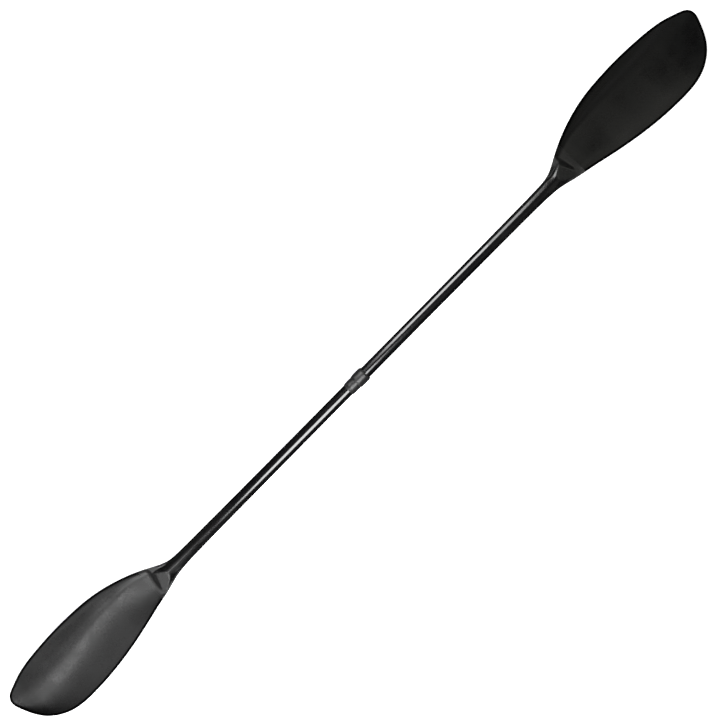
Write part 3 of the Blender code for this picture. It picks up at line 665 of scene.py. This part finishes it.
for node, obj in frame["nodes"].items():
    made = {
        "foam": foam, "nylon_dark": nylon_dark, "nylon_pale": nylon_pale,
        "seal_rubber": seal_rubber, "glass_fibre": glass_fibre,
        "collar_plastic": collar_plastic, "carbon_edge": carbon_edge,
        "carbon_shaft": carbon_shaft, "carbon_face": carbon_face,
    }[slot_of_node[node]]
    for s in obj.material_slots:
        s.material = made


# ---------------------------------------------------------------------------
# Blades
# ---------------------------------------------------------------------------
ROWS, COLUMNS = 190, 72
SEAM = 0.00008


def stations(edge, inner_side, rows=ROWS):
    """Stations along an edge from the neck cut to the tip, closer at both
    ends: their points, and the directions that point into the blade."""
    keep = edge[edge[:, 0] > NECK_CUT + SEAM]
    first = np.array([[NECK_CUT + SEAM, np.interp(NECK_CUT + SEAM, edge[:, 0], edge[:, 1])]])
    line = np.vstack([first, keep])
    s = np.concatenate([[0], np.cumsum(np.linalg.norm(np.diff(line, axis=0), axis=1))])
    u = np.linspace(0, 1, rows)
    want = s[-1] * (0.45 * u + 0.55 * (1 - np.cos(math.pi * u)) / 2)
    points = np.stack([np.interp(want, s, line[:, 0]), np.interp(want, s, line[:, 1])], 1)
    fine = np.gradient(line, s, axis=0)
    d = np.stack([np.interp(want, s, fine[:, 0]), np.interp(want, s, fine[:, 1])], 1)
    d /= np.linalg.norm(d, axis=1)[:, None]
    inward = inner_side * np.stack([-d[:, 1], d[:, 0]], 1)
    inward[0] = (0, inner_side / d[0, 0])
    inward[-1] = (-1, 0)
    return points, inward


def blade_grid(depth):
    (lo, lo_in), (hi, hi_in) = stations(TRAILING_EDGE, 1), stations(LEADING_EDGE, -1)
    a, b = lo + depth * lo_in, hi + depth * hi_in
    v = np.linspace(0, 1, COLUMNS)
    v = 0.7 * v + 0.3 * (1 - np.cos(math.pi * v)) / 2
    return a[:, None, :] + (b - a)[:, None, :] * v[None, :, None]


def grid_faces(rows, columns, flip):
    faces = []
    for i in range(rows - 2):
        for j in range(columns - 1):
            a, b = i * columns + j, i * columns + j + 1
            c, d = b + columns, a + columns
            faces.append((a, b, c, d) if flip else (a, d, c, b))
    tip = (rows - 1) * columns
    for j in range(columns - 1):
        a, b = (rows - 2) * columns + j, (rows - 2) * columns + j + 1
        faces.append((a, b, tip) if flip else (a, tip, b))
    return faces


def sharp_border(mesh):
    """Keeps the shading of a skin's face apart from that of its cut edge."""
    bm = bmesh.new()
    bm.from_mesh(mesh)
    for edge in bm.edges:
        if edge.is_boundary:
            edge.smooth = False
    bm.to_mesh(mesh)
    bm.free()


def skin(name, node, side_name, hand):
    """A carbon skin between the rim's inner edges, with a real thickness."""
    plan = blade_grid(RIM_WIDTH + SEAM)
    top, back = blade_heights(plan[..., 0], plan[..., 1])
    z = top if side_name == "face" else back
    points = np.concatenate([plan, z[..., None]], -1)
    points[-1] = points[-1].mean(0)
    points[..., 0] *= hand
    rows, columns = points.shape[:2]
    flat = list(points[:-1].reshape(-1, 3)) + [points[-1, columns // 2]]
    flip = (hand > 0) != (side_name == "face")
    obj = piece(name, flat, grid_faces(rows, columns, flip), node, carbon_face)
    sharp_border(obj.data)
    solid = obj.modifiers.new("laminate", "SOLIDIFY")
    solid.thickness = SKIN
    solid.offset = -1
    return obj


def rim(name, node, hand):
    """The band round the blade's edge: a rounded section swept round it."""
    (lo, lo_in), (hi, hi_in) = stations(TRAILING_EDGE, 1, 300), stations(LEADING_EDGE, -1, 300)
    path = np.vstack([lo, hi[::-1][1:]])
    inward = np.vstack([lo_in, hi_in[::-1][1:]])
    r = EDGE_THICKNESS / 2
    depths = [r * (1 - math.cos(a)) for a in np.linspace(0, math.pi / 2, 8)[1:]]
    depths = np.array(depths + [0.0024, 0.0032, 0.0038, RIM_WIDTH])
    plan = path[:, None, :] + inward[:, None, :] * depths[None, :, None]
    top, back = blade_heights(plan[..., 0], plan[..., 1], np.broadcast_to(depths, plan.shape[:2]))
    # a small round where the rim meets the skins
    top[:, -1] -= 0.00020
    back[:, -1] += 0.00020
    z_edge = blade_heights(path[:, 0], path[:, 1], np.zeros(len(path)))[0]
    m = len(depths)
    section = []
    for k in range(len(path)):
        loop = [(*path[k], z_edge[k])]
        loop += [(*plan[k, j], top[k, j]) for j in range(m)]
        # a tongue that reaches in between the skins
        mid, thick = (top[k, -1] + back[k, -1]) / 2, top[k, -1] - back[k, -1]
        root, end = plan[k, -1], plan[k, -1] + 0.0012 * inward[k]
        t = 0.20 * thick
        loop += [(*root, mid + t), (*end, mid + t), (*end, mid - t), (*root, mid - t)]
        loop += [(*plan[k, j], back[k, j]) for j in range(m - 1, -1, -1)]
        section.append(loop)
    section = np.array(section)
    section[..., 0] *= hand
    n = section.shape[1]
    faces = []
    for k in range(len(path) - 1):
        for j in range(n):
            a, b = k * n + j, k * n + (j + 1) % n
            face = (a, b, b + n, a + n)
            faces.append(face[::-1] if hand > 0 else face)
    first = tuple(range(n))
    last = tuple((len(path) - 1) * n + j for j in range(n))
    faces.append(first if hand > 0 else first[::-1])
    faces.append(last[::-1] if hand > 0 else last)
    return piece(name, section, faces, node, carbon_edge, 60)


def neck(name, node, hand):
    """The moulded neck: a sleeve over the shaft that flares into the blade."""
    rings = [NECK_START] + list(np.linspace(0.418, 0.560, 16))
    rings += list(np.linspace(0.564, 0.586, 9))
    rings += list(np.arange(0.588, NECK_CUT - 0.0004, 0.0008)) + [NECK_CUT]
    half = 124
    angle = np.linspace(0, math.pi, half + 1)
    n = 2 * half
    points, tops = [], []
    for k, x in enumerate(rings):
        xs = np.full(half + 1, x)
        lo, hi = sides_at(xs)
        y = (lo + hi) / 2 - (hi - lo) / 2 * np.cos(angle)
        edge = from_edge(xs, y)
        edge[0] = edge[-1] = 0
        top, back = blade_heights(xs, y, edge)
        tops.append(top)
        ring = [(x, y[j], top[j]) for j in range(half + 1)]
        ring += [(x, y[j], back[j]) for j in range(half - 1, 0, -1)]
        points += ring
    # the web's first few millimetres are eased along the neck
    tops = np.array(tops)
    for k in range(2, len(rings) - 2):
        soft = float(ease(0.588, 0.592, rings[k]) * (1 - ease(0.612, 0.620, rings[k])))
        if soft > 0:
            mean = (tops[k - 2] + 2 * tops[k - 1] + 3 * tops[k] + 2 * tops[k + 1] + tops[k + 2]) / 9
            height = tops[k] + (mean - tops[k]) * soft
            for j in range(half + 1):
                points[k * n + j] = (*points[k * n + j][:2], float(height[j]))
    # a low tongue under the seam, between the skins
    end = np.array(points[-n:])
    for x in (NECK_CUT, NECK_CUT + 0.0002):
        ring = end.copy()
        ring[:, 0] = x
        ring[:, 1] = (end[:, 1] - end[:, 1].mean()) * 0.88 + end[:, 1].mean()
        for j in range(half + 1):
            k = (n - j) % n
            mid = (end[j, 2] + end[k, 2]) / 2
            thin = max((end[j, 2] - end[k, 2]) / 2 - 0.0010, 0.0003)
            ring[j, 2], ring[k, 2] = mid + thin, mid - thin
        ring[0, 2] = ring[half, 2] = end[0, 2]
        ring[half, 2] = end[half, 2]
        points += [tuple(p) for p in ring]
    rings += [NECK_CUT, NECK_CUT + 0.0002]
    outer = len(points)
    bore = SPIGOT_R + 0.0001
    for x in (NECK_START, SHAFT_END + 0.002):
        for j in range(n):
            a = 2 * math.pi * j / n
            points.append((x, -bore * math.cos(a), bore * math.sin(a)))
    faces = []
    for k in range(len(rings) - 1):
        for j in range(n):
            a, b = k * n + j, k * n + (j + 1) % n
            faces.append((a, b, b + n, a + n))
    for j in range(n):
        b = (j + 1) % n
        faces.append((outer + j, outer + n + j, outer + n + b, outer + b))
        faces.append((j, outer + j, outer + b, b))
    faces.append(tuple(outer + n + j for j in reversed(range(n))))
    last = (len(rings) - 1) * n
    for j in range(half):
        face = [last + j, last + (n - j) % n, last + n - j - 1, last + j + 1]
        faces.append(tuple(list(dict.fromkeys(face))[::-1]))
    points = np.array(points)
    points[:, 0] *= hand
    if hand > 0:
        faces = [f[::-1] for f in faces]
    return piece(name, points, faces, node, carbon_neck, 45)


for prefix, hand in (("left", -1), ("right", 1)):
    skin(f"{prefix}_power_face", f"{prefix}_power_face_skin", "face", hand)
    skin(f"{prefix}_back_face", f"{prefix}_back_face_skin", "back", hand)
    rim(f"{prefix}_rim", f"{prefix}_edge_rim", hand)
    neck(f"{prefix}_neck", f"{prefix}_blade_neck", hand)

# ---------------------------------------------------------------------------
# Shaft, ferrule and collar
# ---------------------------------------------------------------------------
def tube_profile(x0, x1, outer, inner, c):
    """A tube's closed section with its outer corners chamfered, and cut into
    lengths so that its faces stay near square enough to shade well."""
    run = list(np.linspace(x1 - c, x0 + c, 24))
    back = list(np.linspace(x0, x1, 12))
    return (
        [(x1, outer - c)] + [(x, outer) for x in run] + [(x0, outer - c)]
        + [(x, inner) for x in back]
    )


def shaft_profile(near, hand, c):
    """Half of the shaft: it swells a little towards its neck, and a
    turned-down end goes on inside the neck."""
    face = NECK_START - 0.00012
    run = np.concatenate([np.linspace(face - 0.0001, SWELL_START, 16), np.linspace(SWELL_START, near + c, 12)[1:]])
    radius = SHAFT_R + (SWELL_R - SHAFT_R) * ease(SWELL_START - 0.05, NECK_START + 0.05, run) / ease(SWELL_START - 0.05, NECK_START + 0.05, face)
    profile = [(SHAFT_END, SPIGOT_R), (face, SPIGOT_R), (face, SWELL_R - 0.0001)]
    profile += list(zip(run, radius)) + [(near, SHAFT_R - c)]
    profile += [(x, SHAFT_BORE) for x in np.linspace(near, SHAFT_END, 8)]
    if hand < 0:
        profile = [(-x, r) for x, r in reversed(profile)]
    return profile


turned("female_tube", shaft_profile(-FEMALE_END, -1, 0.0003), "female_shaft_tube", carbon_shaft)
turned("male_tube", shaft_profile(MALE_END, 1, 0.0004), "male_shaft_tube", carbon_shaft)
turned(
    "ferrule", tube_profile(FERRULE_IN, FERRULE_OUT, FERRULE_R, FERRULE_BORE, 0.0004),
    "ferrule_tube", carbon_ferrule,
)

COLLET_IN, COLLET_OUT = -0.0114, 0.0058
BORE, MOUTH = SHAFT_R + 0.00035, 0.01445
collar_profile = [
    (COLLAR_OUT, MOUTH), (COLLAR_OUT, 0.0158), (COLLAR_OUT - 0.0042, COLLAR_R),
    (-0.0130, COLLAR_R), (-0.0178, COLLAR_SKIRT_R), (-0.0338, COLLAR_SKIRT_R),
    (COLLAR_IN, 0.0148), (COLLAR_IN, BORE),
    (COLLET_IN + 0.004, BORE), (COLLET_OUT + 0.0002, 0.01285), (0.0078, 0.01285),
    (0.0078, FERRULE_R + 0.0006), (0.0095, FERRULE_R + 0.0006), (0.0095, MOUTH),
]
collar_radii = [0.0003, 0.0010, 0.0016, 0.0040, 0.0040, 0.0060, 0.0003, 0.0002, 0, 0, 0, 0.0002, 0.0002, 0]
turned("collar", rounded(collar_profile, collar_radii), "lock_collar", collar_plastic, sides=160)

# ---------------------------------------------------------------------------
# Stage, light and camera
# ---------------------------------------------------------------------------
scene = bpy.context.scene
scene.view_settings.view_transform = "Standard"
scene.view_settings.look = "None"
scene.view_settings.exposure = 0.0
scene.view_settings.gamma = 1.0


def floor():
    mesh = bpy.data.meshes.new("studio_floor")
    s = 40.0
    mesh.from_pydata([(-s, -s, -0.0004), (s, -s, -0.0004), (s, s, -0.0004), (-s, s, -0.0004)], [], [(0, 1, 2, 3)])
    obj = bpy.data.objects.new("studio_floor", mesh)
    scene.collection.objects.link(obj)
    n = Nodes("floor_paper")
    place, x, y, z = n.place()
    cloud = n.noise(place, 3.0, 2.0)
    colour = n.blend(cloud, (0.80, 0.80, 0.80, 1), (0.83, 0.83, 0.83, 1))
    n.set(Base_Color=colour, Roughness=0.9, Specular_IOR_Level=0.1)
    n.shader.inputs["Emission Color"].default_value = (1, 1, 1, 1)
    n.shader.inputs["Emission Strength"].default_value = 0.85
    mesh.materials.append(n.material)
    obj.visible_glossy = False


floor()

# camera: looks almost straight down, rolled so that the shaft runs from the
# lower left to the upper right
DISTANCE = 5.0
SLANT = 0.07168
ROLL = 0.79205
LOOK_AT = Vector((0.01945, AXIS_Y + 0.03411, AXIS_Z))
PIXELS_PER_METRE = 442.637
away = Vector((math.sin(SLANT), 0, math.cos(SLANT)))
e1 = Vector((math.cos(SLANT), 0, -math.sin(SLANT)))
e2 = Vector((0, 1, 0))
right = e1 * math.cos(ROLL) - e2 * math.sin(ROLL)
up = e1 * math.sin(ROLL) + e2 * math.cos(ROLL)
camera_data = bpy.data.cameras.new("camera")
camera_data.sensor_width = 36.0
camera_data.lens = PIXELS_PER_METRE * DISTANCE / 720 * 36.0
camera_data.clip_start, camera_data.clip_end = 0.1, 100.0
camera = bpy.data.objects.new("camera", camera_data)
scene.collection.objects.link(camera)
camera.location = LOOK_AT + away * DISTANCE
camera.matrix_world = Matrix((
    (right[0], up[0], away[0], camera.location[0]), (right[1], up[1], away[1], camera.location[1]),
    (right[2], up[2], away[2], camera.location[2]), (0, 0, 0, 1),
))
scene.camera = camera


def panel(name, centre, target, along, across, radiance, colour=(1, 1, 1), shape="RECTANGLE"):
    """A soft box that faces target. Its first side runs along X as far as it
    can, and radiance is the brightness of its face."""
    data = bpy.data.lights.new(name, "AREA")
    data.shape = shape
    data.size, data.size_y = along, across
    data.energy = radiance * math.pi * along * across * (math.pi / 4 if shape == "ELLIPSE" else 1)
    data.color = colour
    obj = bpy.data.objects.new(name, data)
    scene.collection.objects.link(obj)
    z = (Vector(centre) - Vector(target)).normalized()
    x = Vector((1, 0, 0))
    x = (x - z * x.dot(z)).normalized()
    y = z.cross(x)
    obj.matrix_world = Matrix((
        (x[0], y[0], z[0], centre[0]), (x[1], y[1], z[1], centre[1]),
        (x[2], y[2], z[2], centre[2]), (0, 0, 0, 1),
    ))
    obj.visible_camera = False
    return obj


def keep_off(light, objects):
    """Keeps a light off some pieces, as a flag beside it would."""
    group = bpy.data.collections.new(light.name + "_off")
    for obj in objects:
        group.objects.link(obj)
    light.light_linking.receiver_collection = group
    for entry in group.collection_objects:
        entry.light_linking.link_state = "EXCLUDE"


# a long box for each half of the shaft, one on each side, kept off the blades
blades = [o for o in scene.objects if o.type == "MESH" and o.name.endswith(("_power_face", "_back_face", "_rim"))]
tubes = [o for o in scene.objects if o.name in ("female_tube", "male_tube", "ferrule", "collar", "left_neck", "right_neck")]
keep_off(panel("strip_lower", (-0.3775, -0.667, 1.736), (-0.3775, 0, 0), 0.605, 1.50, 15.3, shape="ELLIPSE"), blades)
keep_off(panel("strip_upper", (0.285, 1.28, 1.349), (0.285, 0, 0), 0.62, 1.35, 12.0), blades)
# the lower blade has its own: a narrow one for the long soft reflection, and
# broad weak ones over it and beside it
panel("blade_strip", (-1.42, -0.06, 2.0), (-1.0, 0, 0), 0.64, 0.20, 12.2, shape="ELLIPSE")
panel("blade_top", (-1.87, -0.2, 2.2), (-1.3, 0, 0), 1.70, 3.4, 0.79)
panel("blade_side", (-2.4, -0.60, 1.15), (-0.64, 0, 0), 1.3, 1.2, 1.3)
panel("margin_low", (-1.55, -2.1, 0.40), (-0.8, 0, 0), 0.9, 0.7, 1.74)
panel("margin_mid", (-1.95, -1.55, 1.10), (-0.85, 0, 0), 0.7, 0.8, 5.3)
panel("margin_high", (-1.95, -0.90, 1.70), (-0.9, 0, 0), 0.8, 0.7, 6.3)
panel("over_near", (-1.30, -0.35, 2.15), (-0.9, 0, 0), 0.6, 0.5, 0.92)
panel("over_right", (-1.20, 0.35, 2.15), (-0.9, 0, 0), 0.7, 0.5, 0.55)
panel("over_far", (-1.90, 0.40, 1.95), (-0.9, 0, 0), 0.7, 0.7, 0.89)
panel("trailing_side", (-2.0, 1.10, 1.50), (-0.9, 0, 0), 0.9, 0.8, 2.5)
# weak ones: one fills the leading side, and one stands over the upper blade
panel("side_fill", (0.3, -1.9, 1.7), (0.3, 0, 0), 2.2, 0.9, 0.22)
panel("blade_right", (1.60, 0.20, 2.0), (0.8, 0, 0), 0.9, 2.0, 0.71, (1, 1, 0.92))
panel("margin_fill", (-1.30, -1.70, 1.20), (-0.85, 0, 0), 0.7, 0.8, 0.58)
panel("tip_strip", (-0.99, -0.06, 2.05), (-1.0, 0, 0), 0.26, 0.20, 6.5)
keep_off(panel("tip_top", (-0.82, -0.25, 2.2), (-0.9, 0, 0), 0.46, 1.5, 1.0), tubes)
panel("wall_left", (-2.4, 0.55, 1.0), (-0.66, 0, 0), 1.2, 1.2, 1.8)
panel("right_end", (2.5, 0, 1.2), (0.9, 0, 0), 1.2, 1.2, 1.05, (1, 1, 0.92))
panel("right_low", (1.30, -2.1, 0.45), (0.9, 0, 0), 1.2, 0.8, 0.27, (1, 1, 0.92))
panel("right_mid", (1.30, -1.7, 1.15), (0.9, 0, 0), 1.2, 0.8, 0.21, (1, 1, 0.92))
panel("right_high", (1.30, -0.9, 1.85), (0.9, 0, 0), 1.2, 0.8, 0.27, (1, 1, 0.92))
panel("right_trailing", (1.30, 1.1, 1.6), (0.9, 0, 0), 1.2, 0.8, 0.42, (1, 1, 0.92))
panel("right_trailing_low", (1.10, 1.9, 0.9), (0.9, 0, 0), 1.2, 0.8, 2.0, (1, 1, 0.92))

world = bpy.data.worlds.new("studio")
scene.world = world
world.use_nodes = True
tree = world.node_tree
background = tree.nodes["Background"]
coordinate = tree.nodes.new("ShaderNodeTexCoord")
split = tree.nodes.new("ShaderNodeSeparateXYZ")
ramp = tree.nodes.new("ShaderNodeMapRange")
ramp.interpolation_type = "SMOOTHSTEP"
ramp.inputs["From Min"].default_value = 0.35
ramp.inputs["From Max"].default_value = 0.95
ramp.inputs["To Min"].default_value = 0.005
ramp.inputs["To Max"].default_value = 0.044
path = tree.nodes.new("ShaderNodeLightPath")
mix = tree.nodes.new("ShaderNodeMix")
tree.links.new(coordinate.outputs["Generated"], split.inputs[0])
tree.links.new(split.outputs[2], ramp.inputs["Value"])
tree.links.new(path.outputs["Is Camera Ray"], mix.inputs[0])
tree.links.new(ramp.outputs[0], mix.inputs[2])
mix.inputs[3].default_value = 1.0
tree.links.new(mix.outputs[0], background.inputs["Strength"])
background.inputs["Color"].default_value = (0.97, 0.98, 1.0, 1)
